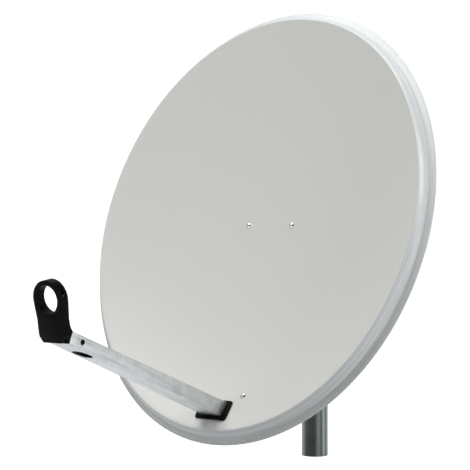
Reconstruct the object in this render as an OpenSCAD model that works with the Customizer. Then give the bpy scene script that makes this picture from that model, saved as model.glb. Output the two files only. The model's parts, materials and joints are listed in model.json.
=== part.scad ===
// Offset satellite dish on a mast: a steel reflector, its rear carrier, a two-axis mast bracket and a
// feed arm with a 40 mm neck clamp. Millimetres, +Z up, the dish looks along -Y.
// The origin is the centre of the mast's lower end.

/* [Reflector] */
// Half the width of the dish across the crest of its rim
crest_half_width = 314; // [310:1:318]
// Angle between the rim plane's normal and the axis of the paraboloid
offset_angle = 24.9; // [24.5:0.1:25.3]
// From the paraboloid's axis to the low side of the aperture
axis_clearance = 22; // [20:1:24]
// Thickness of the painted sheet
sheet = 1; // [0.8:0.1:1.2]
// Width of the flat lip outside the rim's slanting band
lip_width = 9; // [7:0.5:11]

/* [Aim] */
// Elevation that the dish points at as drawn
elevation = 42.6; // [42:0.1:43]
// Lowest elevation that the slots allow
elevation_low = 15; // [15:1:30]
// Highest elevation that the slots allow
elevation_high = 60; // [50:1:60]

/* [Mast] */
// Outer diameter of the mast
mast_d = 45; // [44:0.5:46]
// Wall of the mast tube
mast_wall = 2; // [1.5:0.5:3]
// Length of the mast up to its cap
mast_length = 352; // [348:1:360]
// Height of the rim's centre above the mast's lower end
rim_height = 404; // [402:1:406]
// From the mast's axis forward to the rim's centre
rim_forward = 183; // [181:1:185]

/* [Feed arm] */
// Width of the arm
arm_width = 40; // [38:1:40]
// Wall of the folded arm tube
arm_wall = 1.2; // [1:0.1:1.5]
// Depth of the arm where it crosses the rim plane
arm_depth = 24.8; // [24:0.1:25.5]
// Loss of depth for each millimetre towards the feed
arm_taper = 0.016; // [0.012:0.001:0.018]
// Diameter of the neck that the clamp holds
neck_d = 40; // [38:0.5:40.5]
// Length of the clamp along the neck
clamp_length = 14.6; // [14:0.1:16]

/* [Hidden] */

$fn = 64;
big = 400;
body_gap = 0.3;
thread_gap = 0.05;
sides = [-1, 1];

// ---- paraboloid and rim, in the rim frame: x across, v up in the rim plane, n out of the dish ----
segments = 72;
bowl_rings = 12;
crest_half_height = crest_half_width / cos(offset_angle);
aperture_centre = crest_half_width + axis_clearance;
focal_length = aperture_centre / (2 * tan(offset_angle));
axial_centre = (pow(aperture_centre, 2) + pow(crest_half_width, 2)) / (4 * focal_length);
rim_tilt = elevation - offset_angle;
crest_radius = 3;
bowl_edge_slope = 21;
band_start_slope = -50;
band_end_slope = -85;
band_radius = 28;
lip_slope = -12;
curl_radius = 1.2;

// ---- carrier, mast bracket and pivot ----
plate = 2;
bolt_half_spacing = 44.3;
upper_bolt_v = 5.5;
lower_bolt_v = -285.6;
cushion = 1;
web_in = 20.3;
web_out = web_in + plate;
fork_in = web_out + body_gap;
fork_out = fork_in + plate;
pivot = [-88, 300];
lock_radius = 48;
lock_angle = -100;
slot_half_width = 4.5;
back_plate = 3;
back_plate_front = -29;
back_plate_half_width = 46;
jaw_heights = [268, 320];
jaw_half_height = 14;
clamp_bolt_x = 35;
vee_mouth = 6;
jaw_web = 30;
jaw_back = jaw_web + plate;
vee = (mast_d / 2 + body_gap) * sqrt(2);

// ---- fasteners: diameters, hexagons across flats, and heights ----
m3 = 3;
m6 = 6;
m8 = 8;
m6_hex = 10;
m8_hex = 13;
m6_head_h = 4;
m8_head_h = 5.3;
m6_nut_h = 5;
m8_nut_h = 6.5;
m6_washer_d = 14;
m8_washer_d = 20;
m8_small_washer_d = 16;
m6_washer_h = 1.2;
m8_washer_h = 1.6;
washer_play = 0.4;
hole_play = 0.6;
past_nut = 3;

// ---- feed arm and holder, in the rim frame ----
arm_bottom_v = -322.6;
arm_bottom_slope = 0.0715;
arm_front_n = 352;
arm_rear_n = -80;
arm_bolt_places = [-44, -68];
snap_hole_n = 318;
snap_hole_rise = 1.2;
snap_hole_d = 8.4;
cable_hole_n = 294;
cable_hole_d = 31;
ring_v = -243.2;
ring_n = 376.9;
ring_tilt = 10;
tongue_n = 300;
ring_outer_r = 27;
split_gap = 0.3;
cut_out = [49, 30];
grommet_v = -312.5;

// ---- functions ----
function unit(a) = a / norm(a);
function bowl_n(x, v) =
    let (s = sin(offset_angle), c = cos(offset_angle), f = focal_length,
         q = aperture_centre + v * c, z = axial_centre + v * s, half = q * s + 2 * f * c)
    (half - sqrt(pow(half, 2) - pow(s, 2) * (x * x + q * q - 4 * f * z))) / pow(s, 2);
// Unit normal of the bowl's front face, in the rim frame
function bowl_normal(x, v) =
    let (s = sin(offset_angle), c = cos(offset_angle), q = aperture_centre + v * c - bowl_n(x, v) * s)
    unit([-x, 2 * focal_length * s - q * c, q * s + 2 * focal_length * c]);
function arc(centre, r, from, to, steps) =
    [for (i = [0:steps]) let (a = from + (to - from) * i / steps) centre + r * [cos(a), sin(a)]];
function arc_end(start, r, from, to) = start + r * [cos(to) - cos(from), sin(to) - sin(from)];
function corner(p, a, b, r, steps = 4) =
    let (u = unit(a - p), w = unit(b - p), half = acos(u * w) / 2, c = p + unit(u + w) * r / sin(half),
         s = p + u * r / tan(half) - c, e = p + w * r / tan(half) - c,
         from = atan2(s[1], s[0]), turn = atan2(e[1], e[0]) - from,
         short = turn > 180 ? turn - 360 : turn < -180 ? turn + 360 : turn)
    arc(c, r, from, from + short, steps);
// Outline through the points with each corner rounded to radius r
function rounded(points, r) =
    let (count = len(points))
    [for (i = [0:count - 1])
        each corner(points[i], points[(i + count - 1) % count], points[(i + 1) % count], r)];
function box_points(w, h) = [[-w, -h], [w, -h], [w, h], [-w, h]] / 2;
function arm_bottom(n) = arm_bottom_v + arm_bottom_slope * n;
function arm_top(n) = arm_bottom(n) + arm_depth - arm_taper * n;
function arm_middle(n) = (arm_bottom(n) + arm_top(n)) / 2;
function mirror_points(points) = [for (i = [len(points) - 1:-1:0]) [-points[i][0], points[i][1]]];

// ---- frames ----
module rim_frame() {
    translate([0, -rim_forward, rim_height]) rotate([90 - rim_tilt, 0, 0]) children();
}
// Turns a profile drawn in (y, z) so that its extrusion runs along +X from x
module sideways(x = 0) {
    translate([x, 0, 0]) rotate([90, 0, 90]) children();
}
// The dish's front face at (x, v), with +Z along its front normal
module on_bowl(x, v) {
    m = bowl_normal(x, v);
    rim_frame() translate([x, v, bowl_n(x, v)]) rotate([-asin(m[1]), atan2(m[0], m[2]), 0]) children();
}
lower_bolt_n = bowl_n(bolt_half_spacing, lower_bolt_v);
upper_bolt_n = bowl_n(bolt_half_spacing, upper_bolt_v);
chord = [upper_bolt_v - lower_bolt_v, lower_bolt_n - upper_bolt_n];
chord_angle = atan2(chord[1], chord[0]);
carrier_length = norm(chord);
carrier_tilt = rim_tilt + chord_angle;
carrier_up = [sin(carrier_tilt), cos(carrier_tilt)];
carrier_back = [cos(carrier_tilt), -sin(carrier_tilt)];
carrier_foot = [-rim_forward + lower_bolt_v * sin(rim_tilt) - lower_bolt_n * cos(rim_tilt),
    rim_height + lower_bolt_v * cos(rim_tilt) + lower_bolt_n * sin(rim_tilt)];
// A point (y, z) of the row as (distance up the carrier, distance behind it), and the way back
function to_carrier(p) = [(p - carrier_foot) * carrier_up, (p - carrier_foot) * carrier_back];
function from_carrier(p) = carrier_foot + p[0] * carrier_up + p[1] * carrier_back;
function row_points(points) = [for (p = points) from_carrier(p)];
lock = pivot + lock_radius * [cos(lock_angle), sin(lock_angle)];

// ---- fasteners, drawn along +Z from the face they bear on ----
module washer(inner_d, outer_d, h) {
    difference() {
        cylinder(d = outer_d, h = h);
        translate([0, 0, -1]) cylinder(d = inner_d, h = h + 2);
    }
}
module hexagon(flats, h) cylinder(d = flats / cos(30), h = h, $fn = 6);
module nut(d, flats, h) {
    difference() {
        hexagon(flats, h);
        translate([0, 0, -1]) cylinder(d = d + 2 * thread_gap, h = h + 2);
    }
}
module flange_nut(d, flats, h) {
    nut(d, flats, h);
    washer(d + 2 * thread_gap, flats * 1.35, h / 4);
}
module hex_bolt(d, flats, head_h, length) {
    cylinder(d = d, h = length);
    translate([0, 0, -head_h]) hexagon(flats, head_h);
}
// Domed head below the face, shank above it
module domed_bolt(d, head_d, head_h, length) {
    dome = (pow(head_d / 2, 2) + pow(head_h, 2)) / (2 * head_h);
    cylinder(d = d, h = length);
    intersection() {
        translate([0, 0, dome - head_h]) sphere(r = dome);
        translate([0, 0, -head_h]) cylinder(d = head_d, h = head_h);
    }
}

// ---- mast ----
module mast_tube() {
    color("slategray") difference() {
        cylinder(d = mast_d, h = mast_length);
        translate([0, 0, -1]) cylinder(d = mast_d - 2 * mast_wall, h = mast_length + 2);
    }
}
// Outside cap that keeps the rain out of the tube
module mast_cap() {
    skirt = 12;
    wall = 1.6;
    top = 2.4;
    color("black") difference() {
        translate([0, 0, mast_length - skirt]) cylinder(d = mast_d + 2 * wall, h = skirt + top);
        translate([0, 0, mast_length - skirt - 1]) cylinder(d = mast_d + 2 * thread_gap, h = skirt + 1);
    }
}

// ---- mast clamp ----
// Toothed V that grips the mast, seen from above, open towards -Y, cut off by the plate at y = base
module toothed_vee(base) {
    half_width = 29.5;
    tooth = 1.1;
    teeth = 8;
    flank = [for (i = [0:2 * teeth])
        let (x = (vee - vee_mouth) * (1 - i / (2 * teeth)), back = (i % 2 == 1) ? tooth : 0)
        [x + back * cos(45), vee - x + back * sin(45)]];
    right = concat([for (i = [len(flank) - 1:-1:1]) flank[i - 1]],
        [[half_width, vee_mouth], [half_width, big]]);
    linear_extrude(plate) intersection() {
        polygon(concat(mirror_points(right), [flank[len(flank) - 1]], right));
        translate([-half_width, 0]) square([2 * half_width, base]);
    }
}
module jaw_flanges(base) {
    for (z = [-jaw_half_height, jaw_half_height - plate]) translate([0, 0, z]) toothed_vee(base);
}
module clamp_holes(z) {
    for (s = sides) translate([s * clamp_bolt_x, 0, z]) rotate([90, 0, 0])
        cylinder(d = m8 + hole_play, h = big, center = true);
}
module clamp_jaw(z) {
    web_points = rounded(box_points(2 * back_plate_half_width, 2 * jaw_half_height), 3);
    color("silver") difference() {
        translate([0, 0, z]) {
            jaw_flanges(jaw_web);
            translate([0, jaw_back, 0]) rotate([90, 0, 0]) linear_extrude(plate) polygon(web_points);
        }
        clamp_holes(z);
    }
}
module clamp_jaw_lower() clamp_jaw(jaw_heights[0]);
module clamp_jaw_upper() clamp_jaw(jaw_heights[1]);
module at_clamp_bolts(y) {
    for (z = jaw_heights) for (s = sides) translate([s * clamp_bolt_x, y, z]) rotate([-90, 0, 0]) children();
}
module clamp_bolts() {
    length = jaw_back - back_plate_front + m8_washer_h + m8_nut_h + 2 * past_nut;
    color("gainsboro") at_clamp_bolts(back_plate_front) hex_bolt(m8, m8_hex, m8_head_h, length);
}
module clamp_washers() {
    color("gainsboro") at_clamp_bolts(jaw_back) washer(m8 + washer_play, m8_small_washer_d, m8_washer_h);
}
module clamp_nuts() color("gainsboro") at_clamp_bolts(jaw_back + m8_washer_h) nut(m8, m8_hex, m8_nut_h);

// ---- mast bracket: back plate, two slotted fork plates and toothed flanges, welded ----
module elevation_slot() {
    past_stop = 1;
    from = lock_angle - (elevation_high - elevation) - past_stop;
    to = lock_angle - (elevation_low - elevation) + past_stop;
    wedge = 2 * lock_radius;
    intersection() {
        washer(2 * (lock_radius - slot_half_width), 2 * (lock_radius + slot_half_width), big);
        linear_extrude(big) polygon([[0, 0], wedge * [cos(from), sin(from)], wedge * [cos(to), sin(to)]]);
    }
    for (a = [from, to]) translate(lock_radius * [cos(a), sin(a)]) cylinder(r = slot_half_width, h = big);
}
module fork_plate() {
    outline = [[back_plate_front + 1, 238], [back_plate_front + 1, 342], [-58, 336], [-104, 316],
        [-122, 290], [-126, 254], [-108, 238]];
    difference() {
        linear_extrude(plate) polygon(concat([outline[0], outline[1]],
            [for (i = [2:6]) each corner(outline[i], outline[i - 1], outline[(i + 1) % 7], 10)]));
        translate([pivot[0], pivot[1], -1]) {
            cylinder(d = m8 + 2 * thread_gap, h = plate + 2);
            elevation_slot();
        }
    }
}
module mast_bracket() {
    plate_height = 116;
    plate_middle = 294;
    window = 20;
    weld = 0.5;
    color("silver") difference() {
        union() {
            for (x = [fork_in, -fork_out]) sideways(x) fork_plate();
            translate([0, back_plate_front + back_plate, plate_middle]) rotate([90, 0, 0])
                linear_extrude(back_plate)
                    polygon(rounded(box_points(2 * back_plate_half_width, plate_height), 6));
            for (z = jaw_heights) translate([0, 0, z]) rotate([0, 0, 180])
                jaw_flanges(-back_plate_front - back_plate + weld);
        }
        for (z = jaw_heights) clamp_holes(z);
        translate([0, 0, plate_middle]) rotate([90, 0, 0]) cylinder(d = window, h = -back_plate_front + 1);
    }
}

// ---- reflector ----
// The rim's outer profile from the bowl's edge to the curled lip, as (outward, n)
crest = arc(crest_radius * [sin(bowl_edge_slope), -cos(bowl_edge_slope)], crest_radius,
    90 + bowl_edge_slope, 90 + band_start_slope, 4);
band_centre = crest[len(crest) - 1] - band_radius * [cos(90 + band_start_slope), sin(90 + band_start_slope)];
band = arc(band_centre, band_radius, 90 + band_start_slope, 90 + band_end_slope, 4);
band_foot = band[len(band) - 1];
lip_start = band_foot + [0.9, -1.1];
lip_end = lip_start + lip_width * [1, tan(lip_slope)];
curl = arc(lip_end + curl_radius * [sin(lip_slope), -cos(lip_slope)], curl_radius, 90 + lip_slope, 0, 2);
rim_profile = concat([for (i = [1:len(crest) - 1]) crest[i]], [for (i = [1:len(band) - 1]) band[i]],
    [lip_start], curl);
// The profile moved inwards by the sheet's thickness
function inner_profile(points) =
    [for (i = [0:len(points) - 1])
        let (before = i == 0 ? [0, 0] : points[i - 1], after = points[min(i + 1, len(points) - 1)],
             along = unit(after - before))
        points[i] + sheet * [along[1], -along[0]]];
function ellipse_ring(grow, n) =
    [for (i = [0:segments - 1]) let (a = 360 * i / segments)
        [(crest_half_width + grow) * cos(a), (crest_half_height + grow) * sin(a), n]];
function bowl_ring(scale_by, drop) =
    [for (i = [0:segments - 1])
        let (a = 360 * i / segments, x = scale_by * crest_half_width * cos(a),
             v = scale_by * crest_half_height * sin(a))
        [x, v, bowl_n(x, v) - drop]];
module reflector_shell() {
    inner = inner_profile(rim_profile);
    rings = concat(
        [for (k = [1:bowl_rings]) bowl_ring(k / bowl_rings, 0)],
        [for (p = rim_profile) ellipse_ring(p[0], p[1])],
        [for (i = [len(inner) - 1:-1:0]) ellipse_ring(inner[i][0], inner[i][1])],
        [for (k = [bowl_rings - 1:-1:1]) bowl_ring(k / bowl_rings, sheet)]);
    count = len(rings);
    points = concat([for (r = rings) each r], [[0, 0, bowl_n(0, 0)], [0, 0, bowl_n(0, 0) - sheet]]);
    front_centre = count * segments;
    back_centre = front_centre + 1;
    bands = [for (r = [0:count - 2]) for (i = [0:segments - 1])
        let (j = (i + 1) % segments, a = r * segments, b = a + segments)
        each [[a + i, b + i, b + j], [a + i, b + j, a + j]]];
    front = [for (i = [0:segments - 1]) [front_centre, i, (i + 1) % segments]];
    last = (count - 1) * segments;
    back = [for (i = [0:segments - 1]) [back_centre, last + (i + 1) % segments, last + i]];
    polyhedron(points, [for (f = concat(bands, front, back)) [f[2], f[1], f[0]]]);
}
module reflector() {
    color("gainsboro") difference() {
        rim_frame() reflector_shell();
        at_reflector_bolts() cylinder(d = m6 + washer_play, h = 20, center = true);
        on_bowl(0, grommet_v) linear_extrude(60, center = true) polygon(box_points(cut_out[0], cut_out[1]));
    }
}
module at_reflector_bolts() {
    for (v = [lower_bolt_v, upper_bolt_v]) for (s = sides) on_bowl(s * bolt_half_spacing, v) children();
}
foot_plane = -sheet - cushion;
module reflector_bolts() {
    head_d = 10;
    head_h = 2.6;
    paint = 0.3;
    length = paint - foot_plane + plate + m6_washer_h + m6_nut_h + past_nut;
    color("gainsboro") at_reflector_bolts() translate([0, 0, paint]) mirror([0, 0, 1])
        domed_bolt(m6, head_d, head_h, length);
}
module cushion_washers() {
    cushion_d = 18;
    color("dimgray") at_reflector_bolts() translate([0, 0, foot_plane])
        washer(m6 + washer_play, cushion_d, cushion);
}
module reflector_washers() {
    color("gainsboro") at_reflector_bolts() translate([0, 0, foot_plane - plate - m6_washer_h])
        washer(m6 + washer_play, m6_washer_d, m6_washer_h);
}
module reflector_nuts() {
    color("gainsboro") at_reflector_bolts() translate([0, 0, foot_plane - plate - m6_washer_h - m6_nut_h])
        nut(m6, m6_hex, m6_nut_h);
}

// ---- carrier: a channel of two webs and a spine, with four feet bolted to the dish ----
module carrier_web() {
    top = carrier_length;
    p = to_carrier(pivot);
    k = to_carrier(lock);
    // The edge that follows the dish, then the rear edge round the pivot and the lock
    front = [[-43, 9], [-14, 9], [-13, 2.4], [14, 7], [28, 17],
        [top - 28, 17], [top - 14, 6.7], [top + 14, 2.3]];
    rear = [[top + 14, 13], [top - 4, 28], p + [26, 10], p + [4, 18], k + [-4, 16], k + [-16, 6],
        [120, 46], [28, 46], [2, 63], [-43, 63]];
    around = concat([front[len(front) - 1]], rear, [front[0]]);
    outline = concat(front,
        [for (i = [1:len(rear)]) each corner(around[i], around[i - 1], around[i + 1], 6)]);
    difference() {
        linear_extrude(plate) polygon(row_points(outline));
        for (h = [pivot, lock]) translate([h[0], h[1], -1]) cylinder(d = m8 + 2 * thread_gap, h = plate + 2);
    }
}
module carrier_spine() {
    from = from_carrier([24, 18]);
    spine_length = carrier_length - 54;
    lightening_d = 24;
    lightening_pitch = 52;
    translate([0, from[0], from[1]]) rotate([-carrier_tilt, 0, 0]) difference() {
        translate([-web_in - 1, -plate / 2, 0]) cube([2 * web_in + 2, plate, spine_length]);
        for (i = [0:3]) translate([0, 0, 42 + i * lightening_pitch]) rotate([90, 0, 0])
            cylinder(d = lightening_d, h = 3 * plate, center = true);
    }
}
module carrier_feet() {
    foot = [37, 28];
    inner = bolt_half_spacing - web_in;
    for (v = [lower_bolt_v, upper_bolt_v]) for (s = sides) on_bowl(s * bolt_half_spacing, v)
        translate([s * (foot[0] / 2 - inner), 0, foot_plane - plate]) linear_extrude(plate)
            polygon(rounded(box_points(foot[0], foot[1]), 4));
}
module dish_carrier() {
    color("silver") difference() {
        union() {
            for (x = [web_in, -web_out]) sideways(x) carrier_web();
            carrier_spine();
            carrier_feet();
        }
        at_reflector_bolts() translate([0, 0, foot_plane - 3 * plate])
            cylinder(d = m6 + hole_play, h = 5 * plate);
        at_arm_bolts(-big / 2) cylinder(d = m6 + hole_play, h = big);
    }
}

// ---- elevation pivot and lock: one domed bolt through each side, with washer and flanged nut ----
module at_fork_sides(point, x) {
    for (s = sides) mirror([s < 0 ? 1 : 0, 0, 0]) sideways(x) translate(point) children();
}
fork_washer_face = fork_out + body_gap;
module fork_bolt(point) {
    head_d = 18;
    head_h = 4;
    length = fork_washer_face - web_in + m8_washer_h + m8_nut_h + past_nut;
    color("gainsboro") at_fork_sides(point, web_in) domed_bolt(m8, head_d, head_h, length);
}
module fork_washer(point) {
    color("gainsboro") at_fork_sides(point, fork_washer_face)
        washer(m8 + washer_play, m8_washer_d, m8_washer_h);
}
module fork_nut(point) {
    color("gainsboro") at_fork_sides(point, fork_washer_face + m8_washer_h) flange_nut(m8, m8_hex, m8_nut_h);
}
module pivot_bolts() fork_bolt(pivot);
module pivot_washers() fork_washer(pivot);
module pivot_nuts() fork_nut(pivot);
module lock_bolts() fork_bolt(lock);
module lock_washers() fork_washer(lock);
module lock_nuts() fork_nut(lock);

// ---- feed arm: a tapered folded tube ----
module arm_solid(inset, from, to) {
    sideways(inset - arm_width / 2) linear_extrude(arm_width - 2 * inset) polygon([
        [arm_bottom(from) + inset, from], [arm_bottom(to) + inset, to],
        [arm_top(to) - inset, to], [arm_top(from) - inset, from]]);
}
module at_snap_hole() {
    translate([0, arm_middle(snap_hole_n) + snap_hole_rise, snap_hole_n]) rotate([0, 90, 0]) children();
}
module feed_arm() {
    color("lightsteelblue") difference() {
        rim_frame() difference() {
            arm_solid(0, arm_rear_n, arm_front_n);
            arm_solid(arm_wall, arm_rear_n - 1, arm_front_n + 1);
            at_snap_hole() cylinder(d = snap_hole_d, h = 2 * arm_width, center = true);
            translate([0, arm_middle(cable_hole_n), cable_hole_n]) rotate([90, 0, 0])
                cylinder(d = cable_hole_d, h = arm_depth);
        }
        at_arm_bolts(-big / 2) cylinder(d = m6 + hole_play, h = big);
    }
}
module at_arm_bolts(x) {
    for (n = arm_bolt_places) rim_frame() sideways(x) translate([arm_middle(n), n, 0]) children();
}
module arm_bolts() {
    length = 2 * web_out + 2 * m6_washer_h + m6_nut_h + past_nut;
    color("gainsboro") at_arm_bolts(-web_out - m6_washer_h) hex_bolt(m6, m6_hex, m6_head_h, length);
}
module arm_washers() {
    color("gainsboro") for (x = [-web_out - m6_washer_h, web_out])
        at_arm_bolts(x) washer(m6 + washer_play, m6_washer_d, m6_washer_h);
}
module arm_nuts() color("gainsboro") at_arm_bolts(web_out + m6_washer_h) nut(m6, m6_hex, m6_nut_h);

// ---- grommet that lines the dish's cut-out around the arm ----
module arm_grommet() {
    lip = [61, 35];
    lip_drop = 1.5;
    lip_back = 1.2;
    lip_h = 2.2;
    sleeve_depth = 5;
    fit = 0.25;
    color("black") difference() {
        on_bowl(0, grommet_v) {
            translate([0, -lip_drop, lip_back]) linear_extrude(lip_h)
                polygon(rounded(box_points(lip[0], lip[1]), 4));
            translate([0, 0, -sleeve_depth]) linear_extrude(sleeve_depth + lip_back + 0.5)
                polygon(box_points(cut_out[0] - 2 * fit, cut_out[1] - 2 * fit));
        }
        rim_frame() arm_solid(-fit, -60, 60);
    }
}

// ---- feed holder: a split ring on a saddle that plugs into the arm ----
module ring_frame() {
    rim_frame() translate([0, ring_v, ring_n]) rotate([ring_tilt + rim_tilt, 0, 0]) children();
}
module neck_bore() cylinder(d = neck_d, h = 4 * clamp_length, center = true);
module at_cap_screws(u) {
    screw_x = (neck_d / 2 + ring_outer_r) / 2;
    for (s = sides) translate([s * screw_x, u, 0]) rotate([90, 0, 0]) children();
}
screw_seat = 3.5;
screw_head_d = 5.6;
screw_length = 16;
module feed_holder() {
    foot = -60.8;
    flank = [[ring_outer_r, -split_gap / 2], [26.4, -8], [24.1, -28], [24.6, -42], [24.3, -52],
        [21.5, -56], [17.6, foot]];
    body = concat(flank, mirror_points(flank));
    tongue_wall = 4;
    slide = 0.1;
    peg_below = 0.3;
    color("black") difference() {
        union() {
            ring_frame() translate([0, 0, -clamp_length / 2]) linear_extrude(clamp_length) polygon(body);
            saddle();
        }
        rim_frame() arm_solid(-2 * slide, tongue_n, arm_front_n + 3 * slide);
        ring_frame() neck_bore();
        ring_frame() at_cap_screws(screw_seat) cylinder(d = m3, h = screw_length + 1);
    }
    color("black") rim_frame() difference() {
        union() {
            arm_solid(arm_wall + slide, tongue_n, arm_front_n + 2);
            at_snap_hole()
                cylinder(d = snap_hole_d - hole_play, h = arm_width - 2 * peg_below, center = true);
        }
        arm_hollow(tongue_wall);
    }
}
// Two cheeks beside the arm and the floor under its end, with a catch at each cheek's upper rear corner
module saddle() {
    half_width = 22;
    rear_n = 344;
    catch_n = 342.3;
    front = 1.5;
    side = [[arm_bottom(rear_n) + 0.6, rear_n], [arm_bottom(arm_front_n) - 3, arm_front_n + 3],
        [arm_top(arm_front_n), arm_front_n + 14], [arm_top(arm_front_n) + 9, arm_front_n + 2],
        [arm_top(arm_front_n) + 1.6, rear_n + 3], [arm_top(rear_n) - 1.4, catch_n],
        [arm_top(rear_n) - 4.7, rear_n - 0.4]];
    intersection() {
        rim_frame() sideways(-half_width) linear_extrude(2 * half_width) polygon(side);
        ring_frame() translate([-big / 2, -big / 2, front - big]) cube([big, big, big]);
    }
}
// The room for the cable between the tongue's two sides, open to the rear and below
module arm_hollow(wall) {
    from = tongue_n - 10;
    to = arm_front_n - 8;
    sideways(wall - arm_width / 2 + arm_wall) linear_extrude(arm_width - 2 * arm_wall - 2 * wall) polygon([
        [arm_bottom(from) - 5, from], [arm_bottom(to) - 5, to],
        [arm_top(to) - wall, to], [arm_top(from) - wall, from]]);
}
module feed_clamp_cap() {
    color("black") ring_frame() difference() {
        translate([0, 0, -clamp_length / 2]) cylinder(r = ring_outer_r, h = clamp_length);
        neck_bore();
        translate([-big / 2, -big + split_gap / 2, -big / 2]) cube([big, big, big]);
        at_cap_screws(screw_seat) cylinder(d = m3 + washer_play, h = 20);
        at_cap_screws(screw_seat + 20) cylinder(d = screw_head_d + hole_play, h = 20);
    }
}
module clamp_cap_screws() {
    head_h = 2.2;
    color("gainsboro") ring_frame() at_cap_screws(screw_seat) {
        cylinder(d = m3, h = screw_length);
        translate([0, 0, -head_h]) cylinder(d = screw_head_d, h = head_h);
    }
}

mast_tube();
mast_cap();
mast_bracket();
clamp_jaw_upper();
clamp_jaw_lower();
clamp_bolts();
clamp_washers();
clamp_nuts();
reflector();
dish_carrier();
reflector_bolts();
cushion_washers();
reflector_washers();
reflector_nuts();
pivot_bolts();
pivot_washers();
pivot_nuts();
lock_bolts();
lock_washers();
lock_nuts();
feed_arm();
arm_grommet();
arm_bolts();
arm_washers();
arm_nuts();
feed_holder();
feed_clamp_cap();
clamp_cap_screws();
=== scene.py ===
"""The looks of an offset satellite dish on a mast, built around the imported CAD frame.

Metres, +Z up, the dish looks along -Y. The origin is the centre of the mast's lower end.
The dish's own directions are x across, v up in the rim's plane, and n out of the dish.
"""

import json
import math

import bmesh
import bpy
from mathutils import Matrix, Vector


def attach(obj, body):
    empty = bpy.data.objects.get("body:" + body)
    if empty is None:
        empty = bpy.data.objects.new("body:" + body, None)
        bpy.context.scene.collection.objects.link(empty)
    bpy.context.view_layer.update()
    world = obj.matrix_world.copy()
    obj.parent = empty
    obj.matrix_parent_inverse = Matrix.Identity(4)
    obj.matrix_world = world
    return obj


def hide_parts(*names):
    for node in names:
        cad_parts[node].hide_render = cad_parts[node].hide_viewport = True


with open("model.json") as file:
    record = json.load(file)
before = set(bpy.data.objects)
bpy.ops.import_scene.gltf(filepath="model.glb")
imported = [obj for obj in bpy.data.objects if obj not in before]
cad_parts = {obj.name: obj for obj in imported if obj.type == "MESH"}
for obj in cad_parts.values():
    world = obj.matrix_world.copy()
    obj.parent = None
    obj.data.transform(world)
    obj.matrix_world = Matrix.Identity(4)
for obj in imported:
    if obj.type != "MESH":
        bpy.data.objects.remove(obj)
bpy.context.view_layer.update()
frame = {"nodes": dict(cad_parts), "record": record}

NODES = frame["nodes"]
MM = 0.001
TAU = 2 * math.pi

# ---- driving dimensions of the reflector and arm, as the CAD source has them ----
CREST_HALF_WIDTH = 314 * MM
OFFSET_ANGLE = math.radians(24.9)
AXIS_CLEARANCE = 22 * MM
SHEET = 1 * MM
LIP_WIDTH = 9 * MM
RIM_TILT = math.radians(42.6) - OFFSET_ANGLE
RIM_CENTRE = Vector((0, -183 * MM, 404 * MM))
CREST_HALF_HEIGHT = CREST_HALF_WIDTH / math.cos(OFFSET_ANGLE)
APERTURE_CENTRE = CREST_HALF_WIDTH + AXIS_CLEARANCE
FOCAL_LENGTH = APERTURE_CENTRE / (2 * math.tan(OFFSET_ANGLE))
AXIAL_CENTRE = (APERTURE_CENTRE**2 + CREST_HALF_WIDTH**2) / (4 * FOCAL_LENGTH)

ARM_WIDTH = 40 * MM
ARM_WALL = 1.2 * MM
ARM_DEPTH = 24.8 * MM
ARM_TAPER = 0.016
ARM_BOTTOM_V = -322.6 * MM
ARM_SLOPE = 0.0715
ARM_CORNER = 2.2 * MM
# The front end stops 2.5 mm short of the CAD arm's 352 mm, so that it stays hidden in the holder's foot
ARM_ENDS = (-80 * MM, 349.5 * MM)
ARM_BOLT_PLACES = (-44 * MM, -68 * MM)
ARM_BOLT_HOLE = 6.6 * MM
# Place along the arm, diameter, and for the snap hole its rise above the arm's middle
SNAP_HOLE = (318 * MM, 8.4 * MM, 1.2 * MM)
CABLE_HOLE = (294 * MM, 31 * MM)
GROMMET_V = -312.5 * MM
# Width, height and corner radius of the dish's cut-out for the arm
CUT_OUT = (49 * MM, 30 * MM, 2 * MM)
BOLT_HALF_SPACING = 44.3 * MM
BOLT_ROWS = (-285.6 * MM, 5.5 * MM)
BOLT_HOLE = 6.4 * MM

# ---- driving dimensions of the mast, clamp, fork and feed ring, as the CAD source has them ----
MAST_D, MAST_WALL, MAST_LENGTH = 45 * MM, 2 * MM, 352 * MM
CAP_WALL, CAP_SKIRT, CAP_TOP = 1.6 * MM, 12 * MM, 2.4 * MM
PLATE = 2 * MM
BODY_GAP = 0.3 * MM
JAW_HEIGHTS = (268 * MM, 320 * MM)
CLAMP_BOLT_X = 35 * MM
BACK_PLATE_Y, JAW_BACK_Y = -29 * MM, 32 * MM
WEB_IN = 20.3 * MM
WEB_OUT = WEB_IN + PLATE
FORK_FACE = WEB_OUT + PLATE + 2 * BODY_GAP
PIVOT = Vector((0, -88 * MM, 300 * MM))
LOCK_RADIUS, LOCK_ANGLE = 48 * MM, math.radians(-100)
LOCK = PIVOT + LOCK_RADIUS * Vector((0, math.cos(LOCK_ANGLE), math.sin(LOCK_ANGLE)))
RING_V, RING_N, RING_TILT = -243.2 * MM, 376.9 * MM, math.radians(10)
CAP_SCREW_PLACE = (23.5 * MM, 3.5 * MM)

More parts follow.
